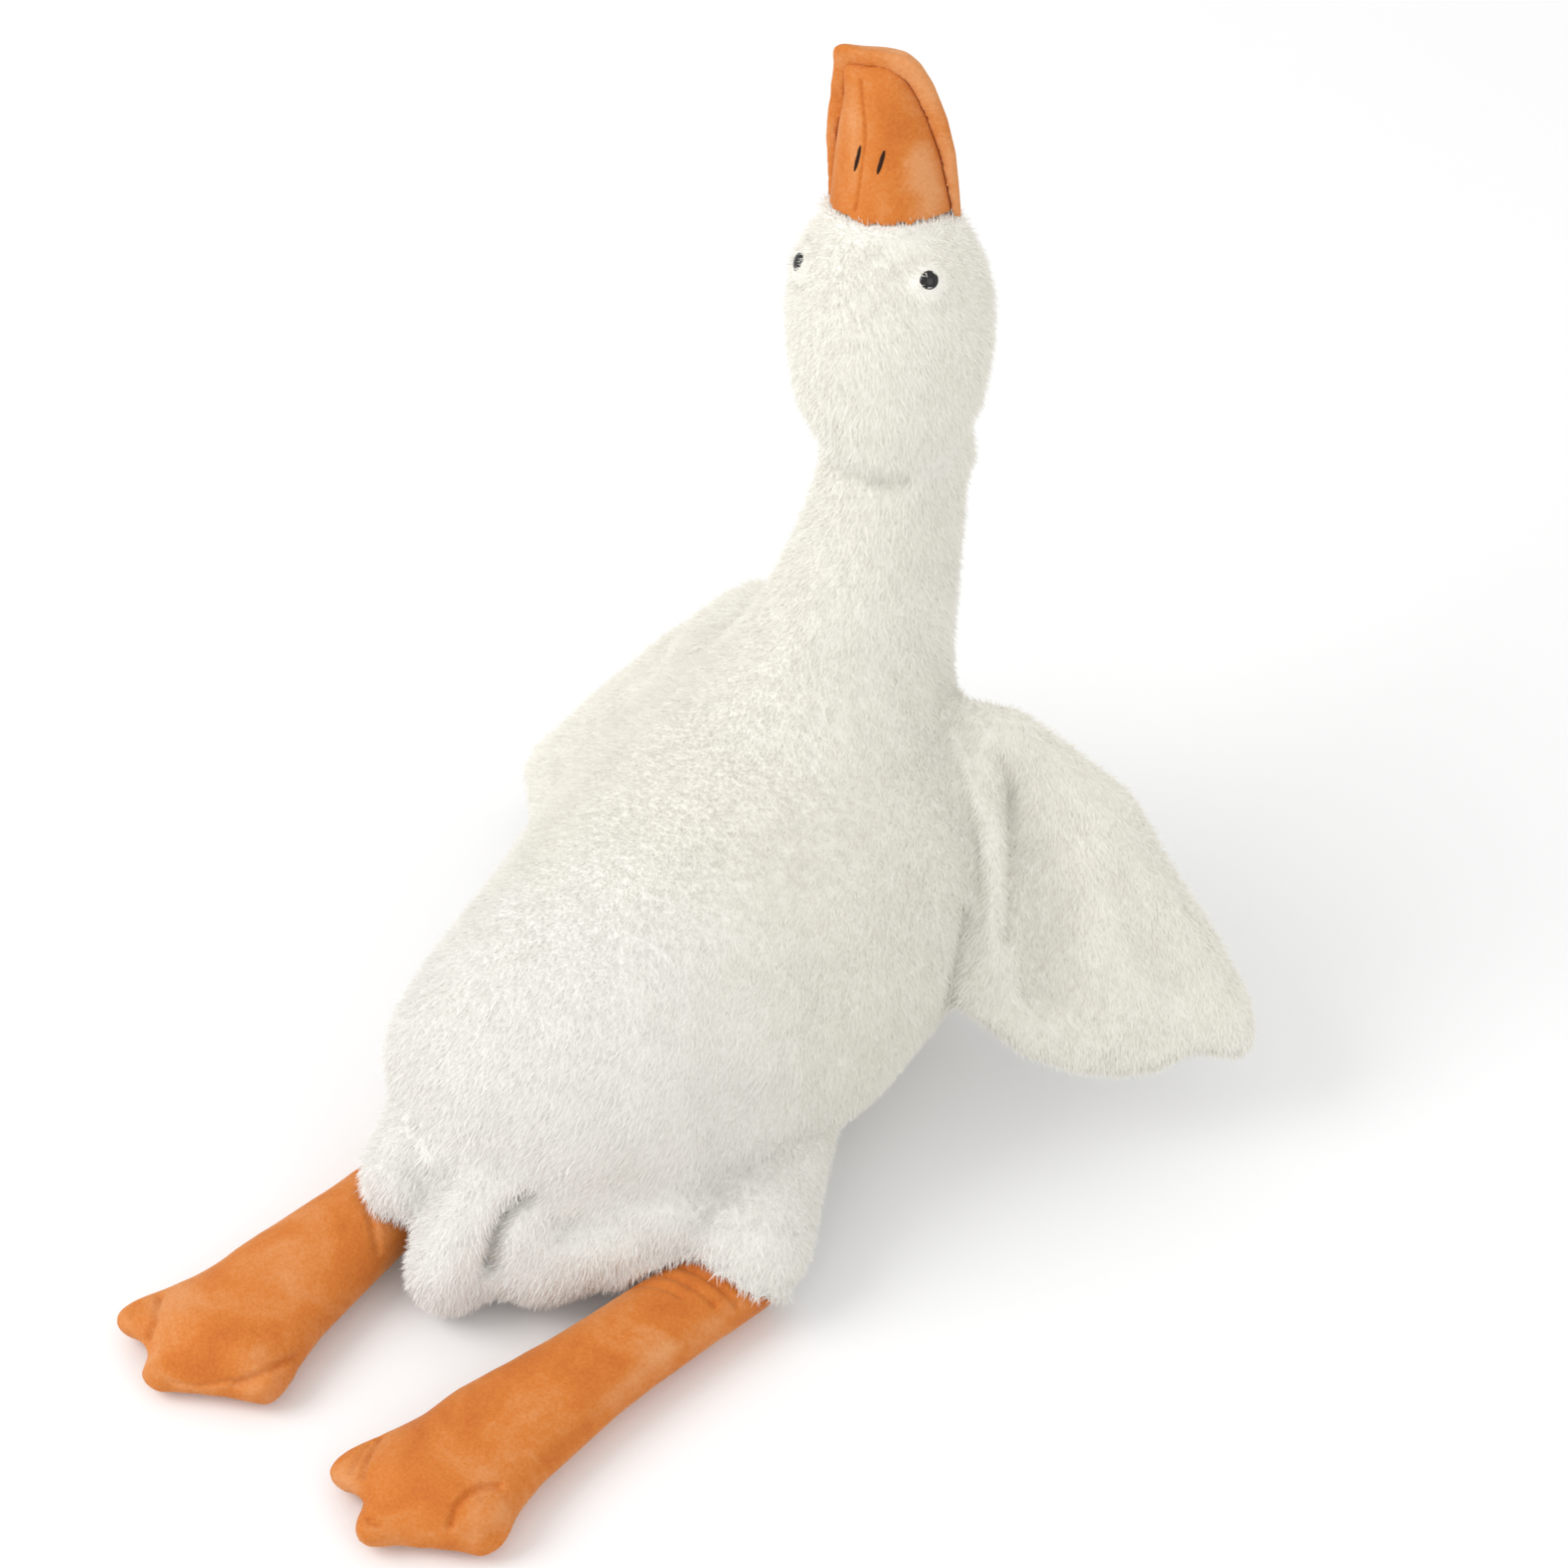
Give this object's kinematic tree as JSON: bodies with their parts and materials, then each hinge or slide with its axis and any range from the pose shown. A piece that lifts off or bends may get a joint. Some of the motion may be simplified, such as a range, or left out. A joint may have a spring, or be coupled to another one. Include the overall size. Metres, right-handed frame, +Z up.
{
  "type": "plush goose",
  "caption": "Large plush goose lying on its belly, with a raised neck, spread wings, soft orange bill and trailing legs with webbed feet.",
  "frame": {"origin": "middle of the flat patch that the belly makes on the surface it lies on", "axes": "+Z up, the goose faces -Y, +X is its left side"},
  "size_m": [0.5356, 0.6429, 0.6459],
  "materials": {
    "white_fur": "long soft white pile",
    "orange_velour": "short napped velour",
    "dark_thread": "satin stitched thread",
    "black_plastic": "polished",
    "white_plastic": "moulded"
  },
  "bodies": {
    "root": {"body": "white_fur", "head": "white_fur", "tail": "white_fur", "wing_left": "white_fur", "wing_right": "white_fur", "thigh_left": "white_fur", "thigh_right": "white_fur", "leg_left": "orange_velour", "leg_right": "orange_velour", "bill_upper": "orange_velour", "bill_lower": "orange_velour", "nostril_left": "dark_thread", "nostril_right": "dark_thread", "eye_left": "black_plastic", "eye_right": "black_plastic", "eye_washer_left": "white_plastic", "eye_washer_right": "white_plastic"}
  },
  "joints": []
}
